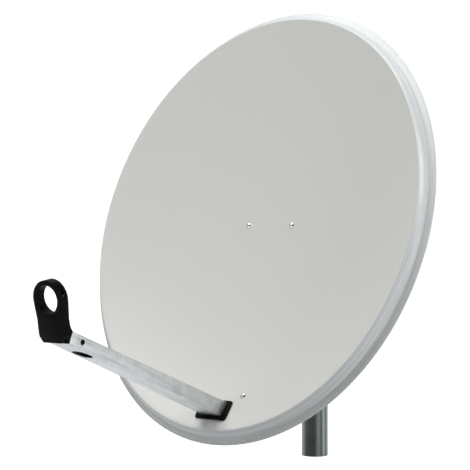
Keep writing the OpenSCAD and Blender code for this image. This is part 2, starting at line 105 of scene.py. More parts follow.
# ---- fasteners, by thread size in millimetres ----
PITCH = {3: 0.5 * MM, 6: 1.0 * MM, 8: 1.25 * MM}
FLATS = {6: 10 * MM, 8: 13 * MM}
HEX_HEAD = {6: 4 * MM, 8: 5.3 * MM}
NUT_H = {6: 5 * MM, 8: 6.5 * MM}
NUT_PLAY = 0.05 * MM
WASHER_H = {6: 1.2 * MM, 8: 1.6 * MM}
WASHER_BORE = {6: 6.4 * MM, 8: 8.4 * MM}
WASHER_D = {6: 14 * MM, 8: 16 * MM}
FORK_WASHER_D = 20 * MM
CUSHION_D, CUSHION_H = 18 * MM, 1 * MM
DISH_HEAD_D, DISH_HEAD_H = 10 * MM, 2.6 * MM
FORK_HEAD_D, FORK_HEAD_H = 18 * MM, 4 * MM
PAST_NUT = 3 * MM
SIDES = (-1, 1)

# ---- camera: where it stands round the rim's centre, and its frame ----
CAMERA_AZIMUTH = math.radians(38.75)
CAMERA_ELEVATION = math.radians(-0.85)
CAMERA_DISTANCE = 2.302
LENS_MM = 109.33
SENSOR_MM = 36
CAMERA_SHIFT = (-0.0270, -0.0378)
CLIP_START = 0.05


# ---------------------------------------------------------------- geometry helpers
def rim_point(x, v, n):
    """The point of the model at (x, v, n) of the dish."""
    s, c = math.sin(RIM_TILT), math.cos(RIM_TILT)
    return Vector((x, RIM_CENTRE.y + v * s - n * c, RIM_CENTRE.z + v * c + n * s))


def bowl_depth(x, v):
    """n of the reflector's front face, a plane section of a paraboloid."""
    s, c, f = math.sin(OFFSET_ANGLE), math.cos(OFFSET_ANGLE), FOCAL_LENGTH
    q = APERTURE_CENTRE + v * c
    z = AXIAL_CENTRE + v * s
    half = q * s + 2 * f * c
    return (half - math.sqrt(half**2 - s**2 * (x * x + q * q - 4 * f * z))) / s**2


def bowl_frame(x, v):
    """A matrix that stands on the front face at (x, v), with +Z along its normal and +X across."""
    step = 0.1 * MM
    here = rim_point(x, v, bowl_depth(x, v))
    up = rim_point(x, v + step, bowl_depth(x, v + step)) - here
    across = rim_point(x + step, v, bowl_depth(x + step, v)) - here
    normal = across.cross(up).normalized()
    across = up.cross(normal).normalized()
    return Matrix.LocRotScale(here, Matrix((across, normal.cross(across), normal)).transposed(), None)


def arc(centre, radius, start, end, steps):
    """Points on a circle from angle start to angle end, in degrees."""
    angles = [math.radians(start + (end - start) * i / steps) for i in range(steps + 1)]
    return [(centre[0] + radius * math.cos(a), centre[1] + radius * math.sin(a)) for a in angles]


def arc_from(start, radius, slope_in, slope_out, steps):
    """An arc that leaves a point at one slope and bends down to another, in degrees."""
    slope = math.radians(slope_in)
    centre = (start[0] + radius * math.sin(slope), start[1] - radius * math.cos(slope))
    return arc(centre, radius, 90 + slope_in, 90 + slope_out, steps)


def rounded_box(width, height, radius):
    """Outline of a rectangle round the origin, with rounded corners, counter-clockwise."""
    steps = 5
    w, h = width / 2 - radius, height / 2 - radius
    centres = [((w, -h), -90), ((w, h), 0), ((-w, h), 90), ((-w, -h), 180)]
    return [p for centre, start in centres for p in arc(centre, radius, start, start + 90, steps)]


class Shape:
    """Vertices and faces that grow piece by piece, and become one mesh."""

    def __init__(self):
        self.vertices = []
        self.faces = []

    def add(self, vertices, faces, matrix=None):
        base = len(self.vertices)
        for v in vertices:
            self.vertices.append(matrix @ Vector(v) if matrix else Vector(v))
        for f in faces:
            self.faces.append([base + i for i in f])

    def rings(self, rings, matrix=None, loop=False):
        """Skins rings of equal length; loop joins the last to the first, else both ends are closed."""
        count = len(rings[0])
        vertices = [p for ring in rings for p in ring]
        spans = range(len(rings) if loop else len(rings) - 1)
        faces = []
        for r in spans:
            a, b = r * count, ((r + 1) % len(rings)) * count
            faces += [[a + i, a + (i + 1) % count, b + (i + 1) % count, b + i] for i in range(count)]
        if not loop:
            faces.append(list(reversed(range(count))))
            faces.append([(len(rings) - 1) * count + i for i in range(count)])
        self.add(vertices, faces, matrix)

    def lathe(self, profile, matrix=None, segments=48, loop=False):
        """Turns (radius, height) points round Z."""
        turns = [TAU * i / segments for i in range(segments)]
        rings = [[(r * math.cos(a), r * math.sin(a), z) for a in turns] for r, z in profile]
        self.rings(rings, matrix, loop)

    def prism(self, outline, low, high, matrix=None):
        self.rings([[(x, y, z) for x, y in outline] for z in (low, high)], matrix)

    def drill(self, diameter, reach, matrix, segments):
        """A cylinder on Z that reaches as far below the origin as above it."""
        radius = diameter / 2
        self.lathe([(0, -reach), (radius, -reach), (radius, reach), (0, reach)], matrix, segments)

    def object(self, name):
        mesh = bpy.data.meshes.new(name)
        mesh.from_pydata([tuple(v) for v in self.vertices], [], self.faces)
        mesh.validate()
        made = bpy.data.objects.new(name, mesh)
        bpy.context.scene.collection.objects.link(made)
        tidy_mesh(made)
        return made


def edit(thing):
    """A bmesh of the object's mesh; give it back with done()."""
    work = bmesh.new()
    work.from_mesh(thing.data)
    return work


def done(work, thing):
    """Puts the bmesh back into the object's mesh."""
    work.to_mesh(thing.data)
    work.free()


def tidy_mesh(thing):
    """Joins points that coincide and turns all faces outwards."""
    work = edit(thing)
    bmesh.ops.remove_doubles(work, verts=work.verts, dist=1e-6)
    bmesh.ops.dissolve_degenerate(work, edges=work.edges, dist=1e-6)
    bmesh.ops.recalc_face_normals(work, faces=work.faces)
    done(work, thing)


def apply_modifiers(thing):
    """Makes the modifiers' result the object's own mesh."""
    graph = bpy.context.evaluated_depsgraph_get()
    mesh = bpy.data.meshes.new_from_object(thing.evaluated_get(graph))
    thing.modifiers.clear()
    old = thing.data
    thing.data = mesh
    bpy.data.meshes.remove(old)


def cut(thing, shape):
    """Takes the closed shape away from the object."""
    cutter = shape.object("cutter")
    change = thing.modifiers.new("cut", "BOOLEAN")
    change.operation = "DIFFERENCE"
    change.solver = "EXACT"
    change.object = cutter
    apply_modifiers(thing)
    bpy.data.objects.remove(cutter)


def bevel(thing, width, steps=3, angle=32):
    """Rounds the sharp edges."""
    change = thing.modifiers.new("bevel", "BEVEL")
    change.width = width
    change.segments = steps
    change.limit_method = "ANGLE"
    change.angle_limit = math.radians(angle)
    change.use_clamp_overlap = True
    apply_modifiers(thing)


def smooth(thing, angle=35):
    """Shades the mesh smooth, with a crease wherever faces meet more sharply than the angle."""
    thing.data.shade_smooth()
    thing.data.set_sharp_from_angle(angle=math.radians(angle))


def dress(thing, material, body, replaced):
    """Gives a new piece its finish, its body and the CAD node that it stands for."""
    thing.data.materials.clear()
    thing.data.materials.append(material)
    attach(thing, body)
    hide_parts(replaced)


# ---------------------------------------------------------------- materials
class Finish:
    """A Principled material with short calls for the nodes that the finishes share."""

    def __init__(self, name, **sockets):
        self.material = bpy.data.materials.new(name)
        self.material.use_nodes = True
        self.nodes = self.material.node_tree.nodes
        self.links = self.material.node_tree.links
        self.shader = self.nodes["Principled BSDF"]
        for socket, value in sockets.items():
            self.shader.inputs[socket.replace("_", " ")].default_value = value
        self.place = self.nodes.new("ShaderNodeTexCoord").outputs["Object"]

    def feed(self, value, socket):
        """Links another node's socket, or sets a plain value."""
        if isinstance(value, bpy.types.NodeSocket):
            self.links.new(value, socket)
        else:
            socket.default_value = value

    def drive(self, socket, value):
        """Feeds one of the shader's own sockets."""
        self.feed(value, self.shader.inputs[socket])

    def stretched(self, scale):
        """The object's coordinates, scaled along each axis."""
        mapping = self.nodes.new("ShaderNodeMapping")
        self.links.new(self.place, mapping.inputs["Vector"])
        mapping.inputs["Scale"].default_value = scale
        return mapping.outputs["Vector"]

    def noise(self, scale, detail=3, roughness=0.5, vector=None):
        node = self.nodes.new("ShaderNodeTexNoise")
        self.links.new(vector or self.place, node.inputs["Vector"])
        node.inputs["Scale"].default_value = scale
        node.inputs["Detail"].default_value = detail
        node.inputs["Roughness"].default_value = roughness
        return node.outputs["Fac"]

    def cells(self, scale):
        """A random grey for each crystal of a Voronoi pattern."""
        node = self.nodes.new("ShaderNodeTexVoronoi")
        self.links.new(self.place, node.inputs["Vector"])
        node.inputs["Scale"].default_value = scale
        grey = self.nodes.new("ShaderNodeRGBToBW")
        self.links.new(node.outputs["Color"], grey.inputs["Color"])
        return grey.outputs["Val"]

    def between(self, value, low, high, out_low=0, out_high=1):
        """Goes from out_low to out_high while the value goes from low to high."""
        node = self.nodes.new("ShaderNodeMapRange")
        self.links.new(value, node.inputs["Value"])
        node.inputs["From Min"].default_value = low
        node.inputs["From Max"].default_value = high
        node.inputs["To Min"].default_value = out_low
        node.inputs["To Max"].default_value = out_high
        return node.outputs["Result"]

    def math(self, operation, a, b=0):
        node = self.nodes.new("ShaderNodeMath")
        node.operation = operation
        self.feed(a, node.inputs[0])
        self.feed(b, node.inputs[1])
        return node.outputs["Value"]

    def times(self, a, b):
        return self.math("MULTIPLY", a, b)

    def along(self, direction, origin=(0, 0, 0)):
        """The point's place along a direction from the origin, 1 at the direction's own length."""
        shift = self.nodes.new("ShaderNodeVectorMath")
        shift.operation = "SUBTRACT"
        self.links.new(self.place, shift.inputs[0])
        shift.inputs[1].default_value = origin
        dot = self.nodes.new("ShaderNodeVectorMath")
        dot.operation = "DOT_PRODUCT"
        self.links.new(shift.outputs["Vector"], dot.inputs[0])
        dot.inputs[1].default_value = Vector(direction) / Vector(direction).length_squared
        return dot.outputs["Value"]

    def vector(self, x, y, z):
        """A vector put together from three values or numbers."""
        node = self.nodes.new("ShaderNodeCombineXYZ")
        for value, socket in zip((x, y, z), node.inputs):
            self.feed(value, socket)
        return node.outputs["Vector"]

    def steps(self, value, stops):
        """A faintly blue grey that goes through (position, grey) stops."""
        node = self.nodes.new("ShaderNodeValToRGB")
        ramp = node.color_ramp
        while len(ramp.elements) < len(stops):
            ramp.elements.new(0.5)
        for element, (position, grey) in zip(ramp.elements, stops):
            element.position = position
            element.color = (0.94 * grey, grey, 1.03 * grey, 1)
        self.links.new(value, node.inputs["Fac"])
        return node.outputs["Color"]

    def painted_crease_shade(self, distance):
        """How much painted shade a fold gets: 1 in a deep fold, 0 on an open face."""
        node = self.nodes.new("ShaderNodeAmbientOcclusion")
        closed, open_face = 0.35, 0.9
        node.samples = 8
        node.inputs["Distance"].default_value = distance
        return self.between(node.outputs["AO"], closed, open_face, 1, 0)

    def mix(self, factor, a, b):
        node = self.nodes.new("ShaderNodeMix")
        node.data_type = "RGBA"
        self.feed(factor, node.inputs["Factor"])
        self.feed(a, node.inputs[6])
        self.feed(b, node.inputs[7])
        return node.outputs[2]

    def over(self, tone, colour, pattern, low, high, most=1):
        """Lays a colour over a tone while the pattern goes from low to high, up to a share of most."""
        return self.mix(self.between(pattern, low, high, 0, most), tone, colour)

    def bump(self, height, distance, strength, normal=None):
        node = self.nodes.new("ShaderNodeBump")
        node.inputs["Strength"].default_value = strength
        node.inputs["Distance"].default_value = distance
        self.links.new(height, node.inputs["Height"])
        if normal:
            self.links.new(normal, node.inputs["Normal"])
        return node.outputs["Normal"]

    def edges(self, radius):
        """1 at a sharp edge, 0 on a flat face, from the bevel node's normal."""
        soft = self.nodes.new("ShaderNodeBevel")
        flat, sharp = 0.98, 0.7
        soft.samples = 4
        soft.inputs["Radius"].default_value = radius
        geometry = self.nodes.new("ShaderNodeNewGeometry")
        dot = self.nodes.new("ShaderNodeVectorMath")
        dot.operation = "DOT_PRODUCT"
        self.links.new(soft.outputs["Normal"], dot.inputs[0])
        self.links.new(geometry.outputs["Normal"], dot.inputs[1])
        return self.between(dot.outputs["Value"], flat, sharp)


def dish_paint():
    """Light grey powder coat with faint dust and orange peel.

    The drawn rim, from just outside the crest, is darker and cooler as painted shade and painted
    reflection, with painted light and dark reflection streaks along its length.
    """
    finish = Finish("dish_paint", Metallic=0.0, IOR=1.5, Specular_IOR_Level=0.5)
    cloud = finish.noise(4, 1)
    speck = finish.noise(900, 2)
    across = finish.along((CREST_HALF_WIDTH, 0, 0))
    up = finish.along(CREST_HALF_HEIGHT * (rim_point(0, 1, 0) - rim_point(0, 0, 0)), RIM_CENTRE)
    radius = finish.math("SQRT", finish.math("ADD", finish.times(across, across), finish.times(up, up)))
    turn = finish.math("ARCTAN2", up, across)
    lines_outward, lines_round = 360, 0.9
    line_place = finish.vector(finish.times(radius, lines_outward), finish.times(turn, lines_round), 0)
    streaks = finish.noise(1, 3, 0.6, line_place)
    face = finish.over((0.583, 0.589, 0.561, 1), (0.588, 0.593, 0.565, 1), cloud, 0.3, 0.7)
    # Painted shade and painted reflection: the rim band's tone is darker and cooler than the face, with
    # light and dark reflection streaks along the rim
    drawn = finish.over((0.43, 0.457, 0.462, 1), (0.64, 0.655, 0.655, 1), streaks, 0.35, 0.65)
    tone = finish.mix(finish.between(radius, 1.0, 1.008), face, drawn)
    tone = finish.over(tone, (0.45, 0.45, 0.43, 1), speck, 0.62, 0.75, 0.12)
    # Painted shade: the rim's creases, such as the fold between band and lip, are darkened towards a dark
    # grey
    tone = finish.mix(finish.times(finish.painted_crease_shade(9 * MM), 0.45), tone, (0.20, 0.215, 0.215, 1))
    finish.drive("Base Color", tone)
    finish.drive("Roughness", finish.between(finish.noise(12, 2), 0.3, 0.7, 0.31, 0.35))
    finish.drive("Normal", finish.bump(finish.noise(450, 2), 0.04 * MM, 0.2))
    return finish.material


def galvanised_steel():
    """Hot-dipped sheet: soft spangle, long rolling streaks, dull smudges, and painted shade in folds and
    close to other parts.
    """
    finish = Finish("galvanised_steel", Metallic=1.0)
    spangle = finish.cells(110)
    fine = finish.cells(260)
    smudge = finish.noise(14, 4, 0.6)
    sideways = Vector((1, 0, 0))
    rolled = (rim_point(0, ARM_SLOPE, 1) - rim_point(0, 0, 0)).normalized()
    lengthwise = finish.times(finish.along(rolled), 0.03)
    line_place = finish.vector(finish.along(sideways), finish.along(rolled.cross(sideways)), lengthwise)
    streaks = finish.noise(260, 3, 0.6, line_place)
    tone = finish.mix(spangle, (0.53, 0.545, 0.55, 1), (0.66, 0.675, 0.685, 1))
    tone = finish.over(tone, (0.74, 0.75, 0.755, 1), fine, 0.3, 1.0, 0.35)
    tone = finish.over(tone, (0.36, 0.38, 0.39, 1), streaks, 0.48, 0.72, 0.7)
    tone = finish.over(tone, (0.47, 0.48, 0.48, 1), smudge, 0.48, 0.75, 0.5)
    # Painted shade: folds and faces close to other parts are darkened towards a dark green-grey
    tone = finish.mix(finish.times(finish.painted_crease_shade(30 * MM), 0.55), tone, (0.22, 0.25, 0.23, 1))
    finish.drive("Base Color", tone)
    rough = finish.between(spangle, 0, 1, 0.34, 0.50)
    rough = finish.math("ADD", rough, finish.between(smudge, 0.4, 0.7, 0, 0.08))
    finish.drive("Roughness", rough)
    crystals = finish.bump(spangle, 0.05 * MM, 0.3)
    finish.drive("Normal", finish.bump(finish.noise(900, 2), 0.03 * MM, 0.3, crystals))
    return finish.material


def zinc_fasteners():
    """Bright zinc plate, a little dulled in random patches."""
    finish = Finish("zinc_fasteners", Metallic=1.0)
    stain = finish.noise(160, 4, 0.6)
    tone = finish.over((0.74, 0.75, 0.77, 1), (0.55, 0.56, 0.56, 1), stain, 0.35, 0.7)
    finish.drive("Base Color", tone)
    finish.drive("Roughness", finish.between(stain, 0.3, 0.7, 0.12, 0.28))
    finish.drive("Normal", finish.bump(finish.noise(1800, 2), 0.02 * MM, 0.25))
    return finish.material


def mast_steel():
    """Dark drawn tube with fine drawing lines, and groups of light and dark bands along it that are
    painted reflections.

    The group of painted reflection bands is repeated round the tube, and its edges wander a little.
    """
    finish = Finish("mast_steel", Metallic=1.0, Coat_Weight=0.6, Coat_IOR=1.6, Coat_Roughness=0.08)
    # Painted reflection: the light and dark bands stand for the room's reflections, painted into the
    # colour in groups round the tube
    groups, first_reflection_group = 3, 1.167
    turn = finish.math("ARCTAN2", finish.along((1, 0, 0)), finish.along((0, -1, 0)))
    wander = finish.between(finish.noise(6, 2), 0, 1, -0.015, 0.015)
    band = finish.math("FRACT", finish.math("ADD", finish.times(turn, groups / TAU), first_reflection_group))
    band = finish.math("ADD", band, wander)
    # Greys of the painted reflection bands, as (place in the group, grey)
    grey = [
        (0, 0.20), (0.10, 0.05), (0.21, 0.025), (0.42, 0.012), (0.49, 0.025),
        (0.55, 0.12), (0.63, 0.19), (0.70, 0.06), (0.75, 0.08), (0.80, 0.33),
        (0.85, 0.33), (0.90, 0.10), (0.95, 0.15), (1, 0.22),
    ]
    lines = finish.noise(400, 3, 0.6, finish.stretched((1, 1, 0.006)))
    stain = finish.noise(30, 4, 0.6)
    tone = finish.over(finish.steps(band, grey), (0.03, 0.04, 0.04, 1), lines, 0.5, 0.8, 0.5)
    tone = finish.over(tone, (0.06, 0.08, 0.07, 1), stain, 0.5, 0.8, 0.25)
    finish.drive("Base Color", tone)
    finish.drive("Roughness", finish.between(stain, 0.3, 0.7, 0.18, 0.30))
    finish.drive("Normal", finish.bump(lines, 0.03 * MM, 0.15))
    return finish.material


def black_plastic():
    """Moulded black plastic: spark-eroded grain, and a painted highlight that makes sharp edges a touch
    lighter.
    """
    finish = Finish("black_plastic", Metallic=0.0, IOR=1.46, Specular_IOR_Level=0.06)
    grain = finish.noise(2200, 2)
    cloud = finish.noise(25, 3)
    tone = finish.over((0.001, 0.001, 0.0012, 1), (0.002, 0.002, 0.0022, 1), cloud, 0.3, 0.7)
    # Painted highlight: sharp edges are lightened a touch
    tone = finish.mix(finish.times(finish.edges(0.8 * MM), 0.3), tone, (0.02, 0.02, 0.022, 1))
    finish.drive("Base Color", tone)
    finish.drive("Roughness", finish.between(cloud, 0.3, 0.7, 0.38, 0.50))
    finish.drive("Normal", finish.bump(grain, 0.04 * MM, 0.35))
    return finish.material


def grey_plastic():
    """Soft grey washer plastic with a fine grain."""
    finish = Finish("grey_plastic", Metallic=0.0, IOR=1.46)
    cloud = finish.noise(120, 3)
    tone = finish.over((0.20, 0.20, 0.205, 1), (0.28, 0.28, 0.285, 1), cloud, 0.3, 0.7)
    finish.drive("Base Color", tone)
    finish.drive("Roughness", finish.between(cloud, 0.3, 0.7, 0.5, 0.65))
    finish.drive("Normal", finish.bump(finish.noise(1800, 2), 0.04 * MM, 0.3))
    return finish.material


MATERIALS = {
    "dish_paint": dish_paint(),
    "galvanised_steel": galvanised_steel(),
    "zinc_fasteners": zinc_fasteners(),
    "mast_steel": mast_steel(),
    "black_plastic": black_plastic(),
    "grey_plastic": grey_plastic(),
}
SLOT_OF = {part["node"]: part["material_slot"] for part in frame["record"]["subparts"]}
BODY_OF = {n: b for b, names in frame["record"]["behaviour"]["bodies"].items() for n in names}


def stand_in(thing, node):
    """The piece stands for the CAD node, on its body and in its finish."""
    dress(thing, MATERIALS[SLOT_OF[node]], BODY_OF[node], node)


# ---------------------------------------------------------------- reflector
def rim_profile():
    """The pressed rim from the bowl's edge to its curled lip, as (outward, n), and its inner face."""
    bowl_slope, band_top_slope, band_foot_slope, lip_slope = 21, -50, -85, -12
    crest_r, band_r, curl_r = 3 * MM, 28 * MM, 1.2 * MM
    ease_out, ease_down = 0.25 * MM, 0.75 * MM
    fold_out, fold_down = 0.9 * MM, 1.1 * MM
    crest = arc_from((0, 0), crest_r, bowl_slope, band_top_slope, 10)
    band = arc_from(crest[-1], band_r, band_top_slope, band_foot_slope, 14)
    foot = band[-1]
    ease = (foot[0] + ease_out, foot[1] - ease_down)
    start = (foot[0] + fold_out, foot[1] - fold_down)
    end = (start[0] + LIP_WIDTH, start[1] + LIP_WIDTH * math.tan(math.radians(lip_slope)))
    curl = arc_from(end, curl_r, lip_slope, -90, 6)
    outer = crest[1:] + band[1:] + [ease, start] + curl
    inner = []
    for i, p in enumerate(outer):
        before = (0, 0) if i == 0 else outer[i - 1]
        after = outer[min(i + 1, len(outer) - 1)]
        along = Vector((after[0] - before[0], after[1] - before[1])).normalized()
        inner.append((p[0] + SHEET * along.y, p[1] - SHEET * along.x))
    return outer, inner


def reflector():
    """The dish: a thin shell of bowl and rim, with its bolt holes and the arm's cut-out."""
    segments, bowl_rings = 240, 44
    hole_reach, cut_out_reach = 5 * MM, 20 * MM
    turns = [TAU * i / segments for i in range(segments)]
    around = [(math.cos(a), math.sin(a)) for a in turns]

    def bowl_ring(share, drop):
        points = [(share * CREST_HALF_WIDTH * c, share * CREST_HALF_HEIGHT * s) for c, s in around]
        return [rim_point(x, v, bowl_depth(x, v) - drop) for x, v in points]

    def rim_ring(outward, n):
        width, height = CREST_HALF_WIDTH + outward, CREST_HALF_HEIGHT + outward
        return [rim_point(width * c, height * s, n) for c, s in around]

    outer, inner = rim_profile()
    front = [bowl_ring(k / bowl_rings, 0) for k in range(1, bowl_rings + 1)]
    back = [bowl_ring(k / bowl_rings, SHEET) for k in range(bowl_rings - 1, 0, -1)]
    shell = Shape()
    shell.rings(front + [rim_ring(*p) for p in outer] + [rim_ring(*p) for p in reversed(inner)] + back)
    made = shell.object("reflector_shell")
    holes = Shape()
    for v in BOLT_ROWS:
        for side in SIDES:
            holes.drill(BOLT_HOLE, hole_reach, bowl_frame(side * BOLT_HALF_SPACING, v), 24)
    holes.prism(rounded_box(*CUT_OUT), -cut_out_reach, cut_out_reach, bowl_frame(0, GROMMET_V))
    cut(made, holes)
    smooth(made, 40)
    stand_in(made, "reflector")


# ---------------------------------------------------------------- feed arm
def arm_bottom(n):
    """v of the arm's underside at n."""
    return ARM_BOTTOM_V + ARM_SLOPE * n


def arm_top(n):
    """v of the arm's top at n."""
    return arm_bottom(n) + ARM_DEPTH - ARM_TAPER * n


def arm_middle(n):
    return (arm_bottom(n) + arm_top(n)) / 2


def arm_section(n, inset, radius):
    """The folded tube's outline at n, with the lock seam's groove along the outer top."""
    low, high = arm_bottom(n) + inset, arm_top(n) - inset
    outline = rounded_box(ARM_WIDTH - 2 * inset, high - low, radius)
    middle = (low + high) / 2
    corner = len(outline) // 4
    if not inset:
        half, half_foot, depth = 0.5 * MM, 0.15 * MM, 0.6 * MM
        top = (high - low) / 2
        groove = [(half, top), (half_foot, top - depth), (-half_foot, top - depth), (-half, top)]
        outline = outline[: 2 * corner] + groove + outline[2 * corner :]
    return [rim_point(x, middle + v, n) for x, v in outline]


def feed_arm():
    """The tapered tube, open at both ends, with its snap, bolt and cable holes."""
    steps, past = 24, 1 * MM
    cross_reach, cable_reach = 30 * MM, 8 * MM
    places = [ARM_ENDS[0] + (ARM_ENDS[1] - ARM_ENDS[0]) * i / steps for i in range(steps + 1)]
    outside = Shape()
    outside.rings([arm_section(n, 0, ARM_CORNER) for n in places])
    made = outside.object("feed_arm_tube")
    inside = Shape()
    ends = (ARM_ENDS[0] - past, ARM_ENDS[1] + past)
    inside.rings([arm_section(n, ARM_WALL, ARM_CORNER - ARM_WALL) for n in ends])
    cut(made, inside)
    holes = Shape()
    across = Matrix.Rotation(math.pi / 2, 4, "Y")
    for n, diameter, rise in [SNAP_HOLE] + [(place, ARM_BOLT_HOLE, 0) for place in ARM_BOLT_PLACES]:
        middle = Matrix.Translation(rim_point(0, arm_middle(n) + rise, n))
        holes.drill(diameter, cross_reach, middle @ across, 40)
    n, diameter = CABLE_HOLE
    down = Matrix.Rotation(-RIM_TILT, 4, "X")
    holes.drill(diameter, cable_reach, Matrix.Translation(rim_point(0, arm_bottom(n), n)) @ down, 64)
    cut(made, holes)
    bevel(made, 0.25 * MM, 2, 50)
    smooth(made, 40)
    stand_in(made, "feed_arm")


# ---------------------------------------------------------------- mast
def mast_tube():
    """The tube with its ends broken, and the weld seam's bead along the bore."""
    lip, outside = 0.4 * MM, MAST_D / 2
    bore, top = outside - MAST_WALL, MAST_LENGTH
    seam_r, sunk = 1.2 * MM, 0.2 * MM
    foot = [(bore, lip), (bore + lip, 0), (outside - lip, 0), (outside, lip)]
    head = [(outside, top - lip), (outside - lip, top), (bore + lip, top), (bore, top - lip)]
    tube = Shape()
    tube.lathe(foot + head, segments=160, loop=True)
    place = Matrix.Rotation(math.pi, 4, "Z") @ Matrix.Translation((0, bore + sunk, 0))
    tube.prism(arc((0, 0), seam_r, 180, 360, 6), 2 * lip, top - 2 * lip, place)
    made = tube.object("mast_tube_drawn")
    smooth(made)
    stand_in(made, "mast_tube")


def mast_cap():
    """The moulded cap over the tube's top, with a round shoulder and a shallow dimple."""
    outside, bore = MAST_D / 2 + CAP_WALL, MAST_D / 2 + 0.05 * MM
    foot, high = MAST_LENGTH - CAP_SKIRT, MAST_LENGTH + CAP_TOP
    edge, chamfer = 1.6 * MM, 0.4 * MM
    dimple_rim, dimple_floor, deep = 0.62 * outside, 0.58 * outside, 0.5 * MM
    inside = [(0, MAST_LENGTH), (bore, MAST_LENGTH), (bore, foot)]
    skirt = [(outside - chamfer, foot), (outside, foot + chamfer)]
    shoulder = arc((outside - edge, high - edge), edge, 0, 90, 6)
    dimple = [(dimple_rim, high), (dimple_floor, high - deep), (0, high - deep)]
    cap = Shape()
    cap.lathe(inside + skirt + shoulder + dimple, segments=96)
    made = cap.object("mast_cap_moulding")
    smooth(made)
    stand_in(made, "mast_cap")


# ---------------------------------------------------------------- fasteners
def lay(place, along, across=(1, 0, 0)):
    """A matrix at the place with +Z along one direction and +X as near as can be to another."""
    z = Vector(along).normalized()
    y = z.cross(Vector(across)).normalized()
    return Matrix.LocRotScale(Vector(place), Matrix((y.cross(z), y, z)).transposed(), None)


def raised(matrix, height):
    """The matrix, moved along its own Z."""
    return matrix @ Matrix.Translation((0, 0, height))


def add_hexagon(shape, matrix, flats, low, high, bore=0):
    """A hexagon with its corners chamfered at both ends; a bore leaves it open, with chamfered mouths."""
    turns = [TAU * i / 48 for i in range(48)]
    corners = [flats / 2 / math.cos(turn % (TAU / 6) - TAU / 12) for turn in turns]
    face, chamfer = 0.95 * flats / 2, math.tan(math.radians(30))

    def circle(radius, z):
        return [(radius * math.cos(turn), radius * math.sin(turn), z) for turn in turns]

    def chamfered(z, inward):
        return [(corner * math.cos(turn), corner * math.sin(turn), z + inward * (corner - face) * chamfer)
                for corner, turn in zip(corners, turns)]

    outside = [circle(face, low), chamfered(low, 1), chamfered(high, -1), circle(face, high)]
    if not bore:
        shape.rings(outside, matrix)
        return
    mouth = 0.4 * MM
    upper = [circle(bore + mouth, high), circle(bore, high - mouth)]
    lower = [circle(bore, low + mouth), circle(bore + mouth, low)]
    shape.rings(outside + upper + lower, matrix, loop=True)


def add_thread(shape, matrix, size, low, high):
    """A shank with the ridges of its thread, each a share of the pitch."""
    pitch, crest = PITCH[size], size * MM / 2
    root = crest - 0.55 * pitch
    ridge = ((root, 0.15), (crest, 0.45), (crest, 0.6), (root, 0.9))
    profile = [(0, low), (root, low)]
    for i in range(int((high - low) / pitch)):
        profile += [(radius, low + (i + share) * pitch) for radius, share in ridge]
    shape.lathe(profile + [(root, high), (0, high)], matrix, 24)


def add_washer(shape, matrix, inner_d, outer_d, height):
    """Stamped washer: rolled over on one side, sharp on the other."""
    inner, outer, roll = inner_d / 2, outer_d / 2, 0.3 * MM
    low, top = height - roll, height
    rolled = [(outer, low), (outer - roll, top), (inner + roll, top), (inner, low)]
    shape.lathe([(inner, 0), (outer, 0)] + rolled, matrix, 40, loop=True)


def add_domed_bolt(shape, matrix, size, head_d, head_h, length):
    """Round head below the face, thread above it."""
    radius = ((head_d / 2) ** 2 + head_h**2) / (2 * head_h)
    half = math.degrees(math.asin(head_d / 2 / radius))
    dome = arc((0, radius - head_h), radius, -90, -90 + half, 10)
    shape.lathe(dome + [(0, 0)], matrix, 40)
    add_thread(shape, matrix, size, 0, length)


def add_nut(shape, matrix, size, flange=False):
    """A hexagon nut, with a flange under it if asked."""
    bore = size * MM / 2 + NUT_PLAY
    add_hexagon(shape, matrix, FLATS[size], 0, NUT_H[size], bore)
    if flange:
        rim, thick = 1.35 * FLATS[size] / 2, NUT_H[size] / 4
        profile = [(bore, 0), (rim, 0), (rim, thick / 2), (FLATS[size] / 2, thick), (bore, thick)]
        shape.lathe(profile, matrix, 40, loop=True)


def finished(shape, node):
    """The shape's own object, in the place of the CAD node."""
    made = shape.object(node + "_detail")
    smooth(made)
    stand_in(made, node)


def clamp_fasteners():
    """M8 bolts from the back plate, past the mast and through the jaws behind it."""
    bolts, washers, nuts = Shape(), Shape(), Shape()
    length = JAW_BACK_Y - BACK_PLATE_Y + WASHER_H[8] + NUT_H[8] + 2 * PAST_NUT
    for z in JAW_HEIGHTS:
        for side in SIDES:
            front = lay((side * CLAMP_BOLT_X, BACK_PLATE_Y, z), (0, 1, 0))
            back = lay((side * CLAMP_BOLT_X, JAW_BACK_Y, z), (0, 1, 0))
            add_hexagon(bolts, front, FLATS[8], -HEX_HEAD[8], 0)
            add_thread(bolts, front, 8, 0, length)
            add_washer(washers, back, WASHER_BORE[8], WASHER_D[8], WASHER_H[8])
            add_nut(nuts, raised(back, WASHER_H[8]), 8)
    finished(bolts, "clamp_bolts")
    finished(washers, "clamp_washers")
    finished(nuts, "clamp_nuts")


def reflector_fasteners():
    """M6 bolts with domed heads on the dish's face, and a cushion, washer and nut behind it."""
    bolts, cushions, washers, nuts = Shape(), Shape(), Shape(), Shape()
    paint, bore = 0.3 * MM, WASHER_BORE[6]
    cushion_back = -SHEET - CUSHION_H
    washer_back = cushion_back - PLATE - WASHER_H[6]
    length = paint - washer_back + NUT_H[6] + PAST_NUT
    for v in BOLT_ROWS:
        for side in SIDES:
            place = bowl_frame(side * BOLT_HALF_SPACING, v)
            head = raised(place, paint) @ Matrix.Rotation(math.pi, 4, "X")
            add_domed_bolt(bolts, head, 6, DISH_HEAD_D, DISH_HEAD_H, length)
            add_washer(cushions, raised(place, cushion_back), bore, CUSHION_D, CUSHION_H)
            add_washer(washers, raised(place, washer_back), bore, WASHER_D[6], WASHER_H[6])
            add_nut(nuts, raised(place, washer_back - NUT_H[6]), 6)
    finished(bolts, "reflector_bolts")
    finished(cushions, "cushion_washers")
    finished(washers, "reflector_washers")
    finished(nuts, "reflector_nuts")


